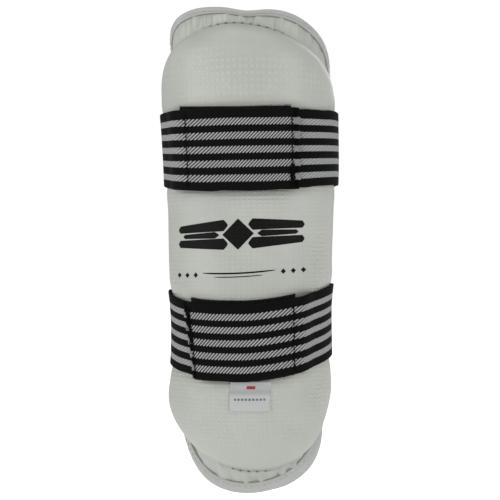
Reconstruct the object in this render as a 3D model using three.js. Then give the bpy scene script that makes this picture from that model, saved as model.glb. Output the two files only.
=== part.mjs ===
// Forearm guard for martial arts: a moulded foam pad in a synthetic leather cover, bound all
// round, held on the arm by two striped elastic straps that close with hook-and-loop.
//
// Frame: millimetres. The origin is the middle of the arm channel. +Z runs to the elbow end,
// -Y is the padded outer face, +X is to the right of someone who looks at that face.
//
// Every sheet of the pad is drawn on one surface, the lining, in two coordinates: phi, the
// angle round the arm (0 at the middle of the padded face), and z along the arm. A third
// number, height, counts outwards from the lining through the layers.

import * as THREE from 'three';

// ---- Driving dimensions -------------------------------------------------------------------

const HALF_LENGTH = 130;
const CLEARANCE = 0.4;

// Binding: a tape folded round the edge, which it clears by the fold.
const BINDING_REACH = 4.4;
const BINDING_TAPE = 0.9;
const BINDING_ROUND = 0.7;
const BINDING_FOLD = CLEARANCE + BINDING_TAPE;

// Arm channel: an oval that narrows from the elbow to the wrist, mostly in its elbow half.
const ELBOW_HALF_WIDTH = 42;
const WRIST_HALF_WIDTH = 37.6;
const WIDTH_TAPER = 3;
const ELBOW_DEPTH = 34;
const WRIST_DEPTH = 31;
const REAR_LINE_Y = 6;
const CHANNEL_BACK_Y = 28;

// Outline of the bound edge, and of the padded area inside it.
const EDGE_PHI = THREE.MathUtils.degToRad(101);
const PAD_PHI = THREE.MathUtils.degToRad(92);
const EDGE_TOP = { peak: HALF_LENGTH - BINDING_FOLD, drop: 50, fall: 2.5, round: 2, lean: 0.34 };
const EDGE_BOTTOM = { peak: BINDING_FOLD - HALF_LENGTH, drop: -81, fall: 2.1, round: 1.5, lean: -0.08 };
const PAD_TOP = { peak: 122.5, drop: 52, fall: 1.9, round: 1.6, lean: 0 };
const PAD_BOTTOM = { peak: -118, drop: -70, fall: 2.1, round: 1.6, lean: -0.05 };

// Layers, counted outwards from the arm.
const LINING = 1.0;
const BACKING_FOAM = 3.5;
const COVER = 1.0;
const LIP_HEIGHT = 2.4;
const CROWN_MIDDLE = 15.6;
const CROWN_TAPER = 0.02;
const SIDE_FALL = 3;
const END_SQUARENESS = 18;

// Straps of 40 mm elastic. Turn is the angle round the whole loop: 0 at the middle of the
// padded face, 90 at the side that the strap leaves from, 180 behind the arm.
const ELASTIC = 1.6;
const LOOP_PILE = 1.4;
const HOOK_TAPE = 1.2;
const STRAP_HALF_HEIGHT_FRONT = 21.3;
const STRAP_HALF_HEIGHT_SIDE = 19.4;
const BACK_SQUARENESS = 2.8;
const HINGE_TURN = 118;
const HINGE_GAP_TURN = 0.28;

const STRAPS = [
  {
    name: 'upper',
    side: 1,
    middleZ: 54.3,
    sideRise: 1.5,
    anchorX: 30.2,
    tabEndX: [32.7, 32.7],
    hookX: [-30, 29.5],
    loopX: [-32.6, 29.2],
    loopLift: 1.6,
  },
  {
    name: 'lower',
    side: -1,
    middleZ: -48.5,
    sideRise: 8,
    anchorX: 26.2,
    tabEndX: [27.4, 31.6],
    hookX: [-30.5, 25.2],
    loopX: [-30, 25.2],
    loopLift: 3,
  },
];
const LOOP_HALF_HEIGHT = 21.4;
const HOOK_HALF_HEIGHT = 19;

// Size label: a folded satin ribbon, sewn on just below the lower strap's loop patch.
const LABEL = { left: -5.9, right: 15.3, top: -69.2, bottom: -85, thickness: 0.5 };

const LEATHER = { color: 0xdadbd6, roughness: 0.42, metalness: 0 };
const BINDING = { color: 0xcfd0ce, roughness: 0.5, metalness: 0 };
const FOAM = { color: 0x3c3f44, roughness: 0.9, metalness: 0 };
const SOFT_FOAM = { color: 0xe2d9bd, roughness: 0.95, metalness: 0 };
const FABRIC = { color: 0x222426, roughness: 0.9, metalness: 0 };
const WEBBING = { color: 0x1b1c1c, roughness: 0.85, metalness: 0 };
const PILE = { color: 0x141414, roughness: 1, metalness: 0 };
const SATIN = { color: 0xe4e5e3, roughness: 0.45, metalness: 0 };

const guard = new THREE.Group();

// ---- Surfaces -----------------------------------------------------------------------------

// Half-width and depth of the lining's cross-section at z.
function channelAt(z) {
  const t = (z + HALF_LENGTH) / (2 * HALF_LENGTH);
  return {
    halfWidth: THREE.MathUtils.lerp(WRIST_HALF_WIDTH, ELBOW_HALF_WIDTH, Math.max(0, t) ** WIDTH_TAPER),
    depth: THREE.MathUtils.lerp(WRIST_DEPTH, ELBOW_DEPTH, t),
  };
}

function liningNormal(phi, z) {
  const { halfWidth, depth } = channelAt(z);
  return new THREE.Vector3(depth * Math.sin(phi), -halfWidth * Math.cos(phi), 0).normalize();
}

function layerPoint(phi, z, height) {
  const { halfWidth, depth } = channelAt(z);
  const foot = new THREE.Vector3(
    halfWidth * Math.sin(phi),
    REAR_LINE_Y - depth * Math.cos(phi),
    z,
  );
  return foot.addScaledVector(liningNormal(phi, z), height);
}

// z of an end outline: a rounded arch from its peak down to its feet at phiEdge. A lean moves
// the peak to one side of phi 0 and leaves the feet where they are.
function arch({ peak, drop, fall, round, lean }, phi, phiEdge) {
  const leaned = phi + lean * Math.max(0, 1 - (phi / phiEdge) ** 2);
  const across = Math.min(1, Math.abs(leaned) / phiEdge);
  return peak - drop * (1 - (1 - across ** fall) ** (1 / round));
}

const edgeTop = (phi) => arch(EDGE_TOP, phi, EDGE_PHI);
const edgeBottom = (phi) => arch(EDGE_BOTTOM, phi, EDGE_PHI);
const padTop = (phi) => arch(PAD_TOP, phi, PAD_PHI);
const padBottom = (phi) => arch(PAD_BOTTOM, phi, PAD_PHI);

// Height of the cover's outer face: a thin lip outside the pad, a crowned pad inside it that
// falls away to the sides and ends in round shoulders.
function coverHeight(phi, z) {
  const top = padTop(phi);
  const bottom = padBottom(phi);
  const across = Math.min(1, Math.abs(phi) / PAD_PHI);
  const along = Math.min(1, Math.abs(2 * z - top - bottom) / (top - bottom));
  const sideProfile = 1 - across ** SIDE_FALL;
  const endProfile = Math.sqrt(1 - along ** END_SQUARENESS);
  const crown = CROWN_MIDDLE + CROWN_TAPER * z;
  return LIP_HEIGHT + (crown - LIP_HEIGHT) * sideProfile * endProfile;
}

// Top of the soft foam against the arm: full thickness under the crown, thinner at the rim.
function backingTop(phi, z) {
  const room = coverHeight(phi, z) - COVER - LINING;
  return LINING + CLEARANCE + Math.min(BACKING_FOAM, 0.4 * room);
}

function coverPoint(phi, z) {
  return layerPoint(phi, z, coverHeight(phi, z));
}

// Outward direction of the cover in the cross-section at z.
function coverNormal(phi, z) {
  const step = 0.01;
  const along = coverPoint(phi + step, z).sub(coverPoint(phi - step, z));
  return new THREE.Vector3(along.y, -along.x, 0).normalize();
}

// Bisection: the phi between low and high where rising(phi) changes from negative to positive.
function findPhi(low, high, rising) {
  let [a, b] = [low, high];
  for (let i = 0; i < 30; i += 1) {
    const middle = (a + b) / 2;
    if (rising(middle) < 0) a = middle;
    else b = middle;
  }
  return (a + b) / 2;
}

// phi where the pad is widest at z: the strap leaves the pad's side there and runs straight on.
function widestPhi(z) {
  return findPhi(0.8, 1.5, (phi) => coverNormal(phi, z).y);
}

function phiAtX(x, z) {
  return findPhi(-1.2, 1.2, (phi) => coverPoint(phi, z).x - x);
}

// A point of the strap loop: on the cover over the pad, on a rounded D behind the arm.
function loopPoint(turn, z, middleZ, offset) {
  const phi = THREE.MathUtils.euclideanModulo(turn + Math.PI, 2 * Math.PI) - Math.PI;
  const leaves = widestPhi(z);
  if (Math.abs(phi) <= leaves) {
    return coverPoint(phi, z).addScaledVector(coverNormal(phi, z), offset);
  }
  const behind = (Math.abs(phi) - leaves) / (Math.PI - leaves);
  const straight = THREE.MathUtils.smoothstep(behind, 0, 0.3);
  const shapeZ = THREE.MathUtils.lerp(z, middleZ, straight);
  const corner = coverPoint(widestPhi(shapeZ), shapeZ);
  const polar = (behind * Math.PI) / 2;
  const a = corner.x + offset;
  const b = CHANNEL_BACK_Y - corner.y + offset;
  const n = BACK_SQUARENESS;
  const radius = ((Math.cos(polar) / a) ** n + (Math.sin(polar) / b) ** n) ** (-1 / n);
  return new THREE.Vector3(
    Math.sign(phi) * radius * Math.cos(polar),
    corner.y + radius * Math.sin(polar),
    z,
  );
}

// ---- Solid builders -----------------------------------------------------------------------

function addPiece(name, geometry, look) {
  const piece = new THREE.Mesh(geometry, new THREE.MeshStandardMaterial(look));
  piece.name = name;
  guard.add(piece);
}

function toGeometry(vertices, triangles, mirrored) {
  const faces = mirrored ? triangles.map(([a, b, c]) => [a, c, b]) : triangles;
  const positions = vertices.flatMap((v) => [mirrored ? -v.x : v.x, v.y, v.z]);
  const geometry = new THREE.BufferGeometry();
  geometry.setAttribute('position', new THREE.Float32BufferAttribute(positions, 3));
  geometry.setIndex(faces.flat());
  geometry.computeVertexNormals();
  return geometry;
}

// Evenly spaced values from 0 to 1.
function steps(count) {
  return Array.from({ length: count + 1 }, (_, i) => i / count);
}

// A closed sheet between two faces, each a function of u (across) and v (up), through the given
// values of u and v.
function sheet(us, vs, outerAt, innerAt, mirrored = false) {
  const columns = us.length - 1;
  const rows = vs.length - 1;
  const faceOf = (faceAt) => vs.flatMap((v) => us.map((u) => faceAt(u, v)));
  const vertices = [...faceOf(outerAt), ...faceOf(innerAt)];
  const faceSize = us.length * vs.length;
  const outer = (i, j) => j * us.length + i;
  const inner = (i, j) => faceSize + outer(i, j);
  const triangles = [];
  const quad = (a, b, c, d) => triangles.push([a, b, c], [a, c, d]);
  for (let j = 0; j < rows; j += 1) {
    for (let i = 0; i < columns; i += 1) {
      quad(outer(i, j), outer(i + 1, j), outer(i + 1, j + 1), outer(i, j + 1));
      quad(inner(i, j), inner(i, j + 1), inner(i + 1, j + 1), inner(i + 1, j));
    }
    quad(outer(0, j), outer(0, j + 1), inner(0, j + 1), inner(0, j));
    quad(inner(columns, j), inner(columns, j + 1), outer(columns, j + 1), outer(columns, j));
  }
  for (let i = 0; i < columns; i += 1) {
    quad(inner(i, 0), inner(i + 1, 0), outer(i + 1, 0), outer(i, 0));
    quad(outer(i, rows), outer(i + 1, rows), inner(i + 1, rows), inner(i, rows));
  }
  return toGeometry(vertices, triangles, mirrored);
}

// ---- The pad ------------------------------------------------------------------------------

// Spacing from -1 to 1, fine near both ends, where the outline and the shoulders curve most.
function fineAtEnds(t) {
  return Math.sin((t - 0.5) * Math.PI);
}

// Levels up the guard: 0 to 1 is the lower lip, 1 to 2 the pad, 2 to 3 the upper lip.
function zAtLevel(phi, level) {
  if (level < 1) return THREE.MathUtils.lerp(edgeBottom(phi), padBottom(phi), level);
  if (level > 2) return THREE.MathUtils.lerp(padTop(phi), edgeTop(phi), level - 2);
  return THREE.MathUtils.lerp(padBottom(phi), padTop(phi), level - 1);
}

// One grid serves every layer, so that the layers lie parallel.
const PAD_PHIS = steps(24).map((t) => fineAtEnds(t) * PAD_PHI);
const PAD_LEVELS = steps(20).map((t) => 1.5 + fineAtEnds(t) / 2);
const LIP_PHI = (EDGE_PHI + PAD_PHI) / 2;
const ALL_PHIS = [-EDGE_PHI, -LIP_PHI, ...PAD_PHIS, LIP_PHI, EDGE_PHI];
const ALL_LEVELS = [0, 0.5, ...PAD_LEVELS, 2.5, 3];

function padLayer(phis, levels, outerHeight, innerHeight) {
  const faceAt = (height) => (phi, level) => {
    const z = zAtLevel(phi, level);
    return layerPoint(phi, z, height(phi, z));
  };
  return sheet(phis, levels, faceAt(outerHeight), faceAt(innerHeight));
}

function makePad() {
  const flat = (height) => () => height;
  const everySecond = ALL_LEVELS.filter((_, i) => i % 2 === 0);
  addPiece('back_lining', padLayer(ALL_PHIS, everySecond, flat(LINING), flat(0)), FABRIC);

  const foamLevels = PAD_LEVELS.slice(2, -2);
  const backingBottom = flat(LINING + CLEARANCE);
  const backing = padLayer(PAD_PHIS.slice(2, -2), foamLevels, backingTop, backingBottom);
  addPiece('backing_foam', backing, SOFT_FOAM);

  const coreTop = (phi, z) => coverHeight(phi, z) - COVER - CLEARANCE;
  const coreBottom = (phi, z) => backingTop(phi, z) + CLEARANCE;
  addPiece('foam_core', padLayer(PAD_PHIS.slice(4, -4), foamLevels, coreTop, coreBottom), FOAM);

  const coverInside = (phi, z) => coverHeight(phi, z) - COVER;
  addPiece('front_cover', padLayer(ALL_PHIS, ALL_LEVELS, coverHeight, coverInside), LEATHER);
}

// Stations round the bound edge, as phi and z, clockwise seen from the padded face.
function edgeStations() {
  const top = ALL_PHIS.slice(0, -1).map((phi) => [phi, edgeTop(phi)]);
  const bottom = ALL_PHIS.slice(1).reverse().map((phi) => [phi, edgeBottom(phi)]);
  const sideShares = steps(8).slice(0, -1);
  const sideZ = (t) => THREE.MathUtils.lerp(edgeTop(EDGE_PHI), edgeBottom(EDGE_PHI), t);
  const right = sideShares.map((t) => [EDGE_PHI, sideZ(t)]);
  const left = sideShares.map((t) => [-EDGE_PHI, sideZ(1 - t)]);
  return [...top, ...right, ...bottom, ...left];
}

// Section of the folded tape: [outwards past the edge, height above the lining].
function bindingSection() {
  const slotLow = -CLEARANCE;
  const slotHigh = LIP_HEIGHT + CLEARANCE;
  const low = slotLow - BINDING_TAPE;
  const high = slotHigh + BINDING_TAPE;
  return [
    [-BINDING_REACH, low],
    [BINDING_FOLD - BINDING_ROUND, low],
    [BINDING_FOLD, low + BINDING_ROUND],
    [BINDING_FOLD, high - BINDING_ROUND],
    [BINDING_FOLD - BINDING_ROUND, high],
    [-BINDING_REACH, high],
    [-BINDING_REACH, slotHigh],
    [CLEARANCE, slotHigh],
    [CLEARANCE, slotLow],
    [-BINDING_REACH, slotLow],
  ];
}

function makeBinding() {
  const stations = edgeStations();
  const section = bindingSection();
  const count = stations.length;
  const vertices = [];
  stations.forEach(([phi, z], k) => {
    const next = stations[(k + 1) % count];
    const previous = stations[(k + count - 1) % count];
    const radius = layerPoint(phi, z, 0).distanceTo(layerPoint(phi - 0.02, z, 0)) / 0.02;
    const run = new THREE.Vector2((next[0] - previous[0]) * radius, next[1] - previous[1]);
    run.normalize();
    for (const [reach, height] of section) {
      vertices.push(layerPoint(phi - (reach * run.y) / radius, z + reach * run.x, height));
    }
  });
  const triangles = [];
  const size = section.length;
  for (let k = 0; k < count; k += 1) {
    for (let s = 0; s < size; s += 1) {
      const a = k * size + s;
      const b = k * size + ((s + 1) % size);
      const c = ((k + 1) % count) * size + ((s + 1) % size);
      const d = ((k + 1) % count) * size + s;
      triangles.push([a, b, c], [a, c, d]);
    }
  }
  addPiece('edge_binding', toGeometry(vertices, triangles, false), BINDING);
}

// ---- The straps ---------------------------------------------------------------------------

// Share of the way from the middle of the padded face to the side, for a turn round the loop.
function sideShare(turn, middleZ) {
  const away = Math.cos(turn) > 0 ? Math.abs(Math.sin(turn)) : 1;
  return Math.min(1, away / Math.sin(widestPhi(middleZ))) ** 3;
}

// A band round the loop, from startTurn to endTurn (each a function of the height share -1..1),
// between two distances from the cover.
function band(strap, columns, rows, startTurn, endTurn, shape) {
  const faceAt = (distance) => (u, v) => {
    const share = 2 * v - 1;
    const turn = THREE.MathUtils.lerp(startTurn(share), endTurn(share), u);
    const aside = sideShare(turn, strap.middleZ);
    const z = strap.middleZ + strap.sideRise * aside + shape.lift + share * shape.halfHeight(aside);
    return loopPoint(turn, z, strap.middleZ, distance(turn));
  };
  const mirrored = strap.side < 0;
  return sheet(steps(columns), steps(rows), faceAt(shape.outer), faceAt(shape.inner), mirrored);
}

function makeStrap(strap) {
  const fullTurn = 2 * Math.PI;
  const turnAt = (x) => phiAtX(x, strap.middleZ);
  const constant = (value) => () => value;
  const hinge = THREE.MathUtils.degToRad(HINGE_TURN);
  const gap = THREE.MathUtils.degToRad(HINGE_GAP_TURN);
  const farHinge = fullTurn - hinge;

  // The tab lies on the side of the pad, then climbs over the two hook-and-loop layers.
  const onPatches = CLEARANCE * 3 + LOOP_PILE + HOOK_TAPE;
  const climbFrom = fullTurn + turnAt(strap.loopX[0] - 7);
  const climbTo = fullTurn + turnAt(strap.loopX[0] - 1);
  const climb = (turn) => THREE.MathUtils.smoothstep(turn, climbFrom, climbTo);
  const tabInner = (turn) => THREE.MathUtils.lerp(CLEARANCE, onPatches, climb(turn));

  const elastic = (inner) => ({
    inner,
    outer: (turn) => inner(turn) + ELASTIC,
    lift: 0,
    halfHeight: (aside) =>
      THREE.MathUtils.lerp(STRAP_HALF_HEIGHT_FRONT, STRAP_HALF_HEIGHT_SIDE, aside),
  });
  const patch = (inner, thickness, halfHeight, lift) => ({
    inner: constant(inner),
    outer: constant(inner + thickness),
    lift,
    halfHeight: constant(halfHeight),
  });

  const anchorStart = constant(turnAt(strap.anchorX));
  const anchor = band(strap, 12, 4, anchorStart, constant(hinge - gap), elastic(constant(CLEARANCE)));
  addPiece(`${strap.name}_strap_sewn_end`, anchor, WEBBING);

  const backShape = elastic(constant(CLEARANCE));
  const back = band(strap, 20, 3, constant(hinge + gap), constant(farHinge - gap), backShape);
  addPiece(`${strap.name}_strap_back`, back, WEBBING);

  const tabEnd = (share) => {
    const x = THREE.MathUtils.lerp(strap.tabEndX[0], strap.tabEndX[1], (share + 1) / 2);
    return fullTurn + turnAt(x);
  };
  const tab = band(strap, 30, 4, constant(farHinge + gap), tabEnd, elastic(tabInner));
  addPiece(`${strap.name}_strap_tab`, tab, WEBBING);

  const hookInner = CLEARANCE * 2 + LOOP_PILE;
  const hookStart = constant(turnAt(strap.hookX[0]));
  const hookEnd = constant(turnAt(strap.hookX[1]));
  const hook = band(strap, 12, 2, hookStart, hookEnd, patch(hookInner, HOOK_TAPE, HOOK_HALF_HEIGHT, 0));
  addPiece(`${strap.name}_hook_patch`, hook, PILE);

  const loopStart = constant(turnAt(strap.loopX[0]));
  const loopEnd = constant(turnAt(strap.loopX[1]));
  const loopShape = patch(CLEARANCE, LOOP_PILE, LOOP_HALF_HEIGHT, strap.loopLift);
  addPiece(`${strap.name}_loop_patch`, band(strap, 12, 2, loopStart, loopEnd, loopShape), PILE);
}

// ---- The label ----------------------------------------------------------------------------

function makeLabel() {
  const faceAt = (offset) => (u, v) => {
    const z = THREE.MathUtils.lerp(LABEL.bottom, LABEL.top, v);
    const phi = phiAtX(THREE.MathUtils.lerp(LABEL.left, LABEL.right, u), z);
    return coverPoint(phi, z).addScaledVector(coverNormal(phi, z), offset);
  };
  const outer = faceAt(CLEARANCE + LABEL.thickness);
  addPiece('size_label', sheet(steps(6), steps(2), outer, faceAt(CLEARANCE)), SATIN);
}

makePad();
makeBinding();
STRAPS.forEach(makeStrap);
makeLabel();

export default guard;
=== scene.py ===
import math
from functools import partial
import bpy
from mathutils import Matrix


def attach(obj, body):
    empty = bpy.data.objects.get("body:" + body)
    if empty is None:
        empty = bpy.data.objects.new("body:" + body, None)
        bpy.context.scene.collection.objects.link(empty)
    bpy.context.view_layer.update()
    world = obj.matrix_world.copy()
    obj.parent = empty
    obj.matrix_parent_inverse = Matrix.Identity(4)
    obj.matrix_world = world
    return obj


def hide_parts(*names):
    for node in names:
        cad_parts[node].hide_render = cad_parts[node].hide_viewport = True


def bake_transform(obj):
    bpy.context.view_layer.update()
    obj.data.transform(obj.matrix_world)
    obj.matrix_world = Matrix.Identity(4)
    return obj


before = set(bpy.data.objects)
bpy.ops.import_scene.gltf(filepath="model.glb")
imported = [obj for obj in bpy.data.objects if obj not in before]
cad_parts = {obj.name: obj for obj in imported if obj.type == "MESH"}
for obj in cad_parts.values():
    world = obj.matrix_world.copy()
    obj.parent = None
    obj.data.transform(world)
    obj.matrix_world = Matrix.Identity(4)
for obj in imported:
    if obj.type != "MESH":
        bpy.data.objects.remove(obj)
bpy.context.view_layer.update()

from types import SimpleNamespace

import bpy
import numpy as np
from mathutils import Vector

MM = 0.001
RADIANS = math.pi / 180

# ---- The guard's surfaces, in millimetres, mostly with the CAD's dimensions ----

HALF_LENGTH = 130.0
CLEARANCE = 0.4
BINDING_FOLD = 1.3
BINDING_REACH = 4.4
ELBOW_HALF_WIDTH, WRIST_HALF_WIDTH, WIDTH_TAPER = 42.0, 37.6, 3
ELBOW_DEPTH, WRIST_DEPTH = 34.0, 31.0
REAR_LINE_Y = 6.0
CHANNEL_BACK_Y = 28.0
EDGE_PHI = 101 * RADIANS
PAD_PHI = 92 * RADIANS
EDGE_TOP = dict(peak=HALF_LENGTH - BINDING_FOLD, drop=50, fall=2.75, round=2, lean=0.34)
EDGE_BOTTOM = dict(peak=BINDING_FOLD - HALF_LENGTH, drop=-81, fall=2.1, round=1.5, lean=-0.08)
PAD_TOP = dict(peak=120.9, drop=52, fall=1.9, round=1.6, lean=0.13)
PAD_BOTTOM = dict(peak=-118, drop=-70, fall=2.1, round=1.6, lean=-0.05)
LIP_HEIGHT = 2.4
CROWN_MIDDLE, CROWN_TAPER = 15.6, 0.02
SIDE_FALL, END_SQUARENESS, SOFT_SQUARENESS = 3, 18, 7
SQUEEZE_DEPTH, SQUEEZE_Z, SQUEEZE_REACH = 2.1, -45, 25
FULLNESS, FULLNESS_Z, FULLNESS_REACH = 1.7, -80, 20
ELASTIC, LOOP_PILE, HOOK_TAPE = 1.6, 1.4, 1.2
SEWN_DENT = 1.1
STRAP_HALF_SIDE = 19.7
BACK_SQUARENESS = 2.8
LOOP_HALF_HEIGHT, HOOK_HALF_HEIGHT = 21.4, 19.0
LABEL = dict(left=-5.9, right=15.3, top=-69.2, bottom=-85.0)

ON_LOOP = CLEARANCE * 2 + LOOP_PILE
ON_HOOKS = CLEARANCE * 3 + LOOP_PILE + HOOK_TAPE
PHI_MM = 42
FULL_TURN = 2 * math.pi

STRAPS = [
    SimpleNamespace(
        name="upper", side=1, middle=52.5, half_front=21.5, rise=2.0, tab_rise=3.0, tab_curve=3,
        anchor_x=26.4, tab_x=(28.4, 28.4), hook_x=(-27, 26.2), loop_x=(-31.9, 26),
        loop_lift=1.3, loop_tilt=0.025, near_row=(-26.3, -26.3), far_row=(24.9, 24.9),
        sewn_lift=0.3, tack=(-0.95, -0.35), seed=71, fuzz_seed=61),
    SimpleNamespace(
        name="lower", side=-1, middle=-48.8, half_front=20.2, rise=8.0, tab_rise=10.3, tab_curve=1.75,
        anchor_x=22.8, tab_x=(23.2, 28.7), hook_x=(-26, 22.6), loop_x=(-27, 27),
        loop_lift=1.0, loop_tilt=-0.02, near_row=(-25.2, -24.6), far_row=(22.2, 26.4),
        sewn_lift=0.9, tack=(-0.1, 0.92), seed=81, fuzz_seed=62),
]


def smoothstep(low, high, x):
    t = np.clip((x - low) / (high - low), 0, 1)
    return t * t * (3 - 2 * t)


def mix(a, b, t):
    return a + (b - a) * t


def bell(x, width):
    return np.exp(-((x / width) ** 2))


def channel_at(z):
    t = (z + HALF_LENGTH) / (2 * HALF_LENGTH)
    half_width = mix(WRIST_HALF_WIDTH, ELBOW_HALF_WIDTH, np.maximum(0, t) ** WIDTH_TAPER)
    return half_width, mix(WRIST_DEPTH, ELBOW_DEPTH, t)


def unit(v):
    return v / np.linalg.norm(v, axis=-1, keepdims=True)


def lining_normal(phi, z):
    half_width, depth = channel_at(z)
    return unit(np.stack([depth * np.sin(phi), -half_width * np.cos(phi), np.zeros_like(phi)], -1))


def layer_point(phi, z, height):
    phi, z, height = np.broadcast_arrays(np.asarray(phi, float), z, height)
    half_width, depth = channel_at(z)
    foot = np.stack([half_width * np.sin(phi), REAR_LINE_Y - depth * np.cos(phi), z], -1)
    return foot + height[..., None] * lining_normal(phi, z)


def arch(outline, phi_edge, phi):
    leaned = phi + outline["lean"] * np.maximum(0, 1 - (phi / phi_edge) ** 2)
    across = np.minimum(1, np.abs(leaned) / phi_edge)
    fallen = 1 - (1 - across ** outline["fall"]) ** (1 / outline["round"])
    return outline["peak"] - outline["drop"] * fallen


edge_top, edge_bottom = partial(arch, EDGE_TOP, EDGE_PHI), partial(arch, EDGE_BOTTOM, EDGE_PHI)
pad_top, pad_bottom = partial(arch, PAD_TOP, PAD_PHI), partial(arch, PAD_BOTTOM, PAD_PHI)


def strap_squeeze(phi, z):
    """The tight lower strap narrows the pad's sides a little."""
    along = np.exp(-((z - SQUEEZE_Z) / SQUEEZE_REACH) ** 4)
    return SQUEEZE_DEPTH * along * mix(0.2, 1, smoothstep(0.5, 1.2, np.abs(phi)))


def cover_height(phi, z):
    top, bottom = pad_top(phi), pad_bottom(phi)
    across = np.minimum(1, np.abs(phi) / PAD_PHI)
    along = np.clip((2 * z - top - bottom) / (top - bottom), -1, 1)
    side_profile = 1 - across ** SIDE_FALL
    soft = np.where(along < 0, bell(phi, 0.6), 0)
    end_profile = np.sqrt(1 - np.abs(along) ** mix(END_SQUARENESS, SOFT_SQUARENESS, soft))
    crown = CROWN_MIDDLE + CROWN_TAPER * z
    height = LIP_HEIGHT + (crown - LIP_HEIGHT) * side_profile * end_profile
    fullness = FULLNESS * bell(z - FULLNESS_Z, FULLNESS_REACH) * smoothstep(0.6, 1.2, np.abs(phi))
    return height + (fullness - strap_squeeze(phi, z)) * np.clip((height - LIP_HEIGHT) / 4, 0, 1)


def cover_point(phi, z):
    return layer_point(phi, z, cover_height(phi, z))


def cover_normal(phi, z, step=0.01):
    run = cover_point(phi + step, z) - cover_point(phi - step, z)
    return unit(np.stack([run[..., 1], -run[..., 0], np.zeros_like(run[..., 0])], -1))


def find_phi(low, high, rising, like):
    """Where a rising function of phi crosses zero, by halving."""
    a, b = np.full_like(like, low, float), np.full_like(like, high, float)
    for _ in range(30):
        middle = (a + b) / 2
        below = rising(middle) < 0
        a, b = np.where(below, middle, a), np.where(below, b, middle)
    return (a + b) / 2


WIDEST_Z = np.linspace(-90, 100, 96)
WIDEST_PHI = find_phi(0.8, 1.5, lambda phi: cover_normal(phi, WIDEST_Z)[..., 1], WIDEST_Z)


def widest_phi(z):
    return np.interp(z, WIDEST_Z, WIDEST_PHI)


def phi_at_x(x, z):
    z = np.broadcast_to(np.asarray(z, float), np.shape(x))
    return find_phi(-1.2, 1.2, lambda phi: cover_point(phi, z)[..., 0] - x, z)


def loop_point(turn, z, middle, offset):
    """A point of the strap loop: on the cover over the pad, on a rounded D behind the arm."""
    turn, z, offset = np.broadcast_arrays(np.asarray(turn, float), z, offset)
    phi = (turn + math.pi) % (2 * math.pi) - math.pi
    leaves = widest_phi(z)
    on_pad_phi = np.clip(phi, -leaves, leaves)
    on_pad = cover_point(on_pad_phi, z) + offset[..., None] * cover_normal(on_pad_phi, z)
    behind = np.clip((np.abs(phi) - leaves) / (math.pi - leaves), 0, 1)
    shape_z = mix(z, middle, smoothstep(0, 0.3, behind))
    corner = cover_point(widest_phi(shape_z), shape_z)
    polar = behind * math.pi / 2
    a = corner[..., 0] + offset
    b = CHANNEL_BACK_Y - corner[..., 1] + offset
    n = BACK_SQUARENESS
    radius = ((np.cos(polar) / a) ** n + (np.sin(polar) / b) ** n) ** (-1 / n)
    x = np.sign(phi) * radius * np.cos(polar)
    around = np.stack([x, corner[..., 1] + radius * np.sin(polar), z], -1)
    return np.where((np.abs(phi) <= leaves)[..., None], on_pad, around)


# ---- Smooth noise, the same each run ----

def noise(u, v, seed):
    """Smooth noise from -1 to 1 over a lattice of side 1."""
    lattice = np.random.default_rng(seed).uniform(-1, 1, (256, 256))
    i, j = np.floor(u).astype(int), np.floor(v).astype(int)
    fu, fv = u - i, v - j
    fu, fv = fu * fu * (3 - 2 * fu), fv * fv * (3 - 2 * fv)
    i, j, i1, j1 = i % 256, j % 256, (i + 1) % 256, (j + 1) % 256
    low = mix(lattice[i, j], lattice[i1, j], fu)
    high = mix(lattice[i, j1], lattice[i1, j1], fu)
    return mix(low, high, fv)


# ---- Mesh builders ----

def wander(z):
    """The pad isn't quite straight: how far its middle lies from x = 0."""
    return 1.1 * bell(z - 42, 40) - 1.3 * bell(z + 86, 16) + 2.3 * smoothstep(-86, -120, z)


def add_object(name, data):
    made = bpy.data.objects.new(name, data)
    bpy.context.collection.objects.link(made)
    return made


def make_mesh(name, points, faces, uvs=None, attributes=None):
    """points in millimetres; uvs maps a layer's name to one (u, v) for each point."""
    points = np.array(points, float)
    points[:, 0] += wander(points[:, 2])
    mesh = bpy.data.meshes.new(name)
    mesh.from_pydata((points * MM).tolist(), [], faces)
    mesh.update()
    for layer_name, values in (uvs or {}).items():
        layer = mesh.uv_layers.new(name=layer_name)
        corner = np.empty(len(mesh.loops), int)
        mesh.loops.foreach_get("vertex_index", corner)
        layer.data.foreach_set("uv", np.asarray(values, np.float32)[corner].ravel())
    for attribute_name, values in (attributes or {}).items():
        attribute = mesh.attributes.new(attribute_name, "FLOAT", "POINT")
        attribute.data.foreach_set("value", np.asarray(values, np.float32).ravel())
    mesh.polygons.foreach_set("use_smooth", np.ones(len(mesh.polygons), bool))
    return add_object(name, mesh)


def grid_faces(columns, rows, start=0, flip=False):
    faces = []
    for j in range(rows - 1):
        for i in range(columns - 1):
            a = start + j * columns + i
            quad = (a, a + 1, a + columns + 1, a + columns)
            faces.append(quad[::-1] if flip else quad)
    return faces


def shell(name, outer, inner, uvs=None, attributes=None, flip=False):
    """A closed sheet between two grids of points, rows by columns."""
    rows, columns = outer.shape[:2]
    size = rows * columns
    faces = grid_faces(columns, rows, 0, flip) + grid_faces(columns, rows, size, not flip)
    left = [j * columns for j in range(rows)]
    right = [j * columns + columns - 1 for j in range(rows)]
    bottom = list(range(columns))
    top = [(rows - 1) * columns + i for i in range(columns)]
    border = bottom + right[1:] + top[-2::-1] + left[-2:0:-1]
    for a, b in zip(border, border[1:] + border[:1]):
        quad = (b, a, a + size, b + size)
        faces.append(quad[::-1] if flip else quad)
    points = np.concatenate([outer.reshape(-1, 3), inner.reshape(-1, 3)])
    double = {k: np.concatenate([v.reshape(size, -1)] * 2) for k, v in (uvs or {}).items()}
    twice = {k: np.concatenate([v.reshape(size)] * 2) for k, v in (attributes or {}).items()}
    return make_mesh(name, points, faces, double, twice)


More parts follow.
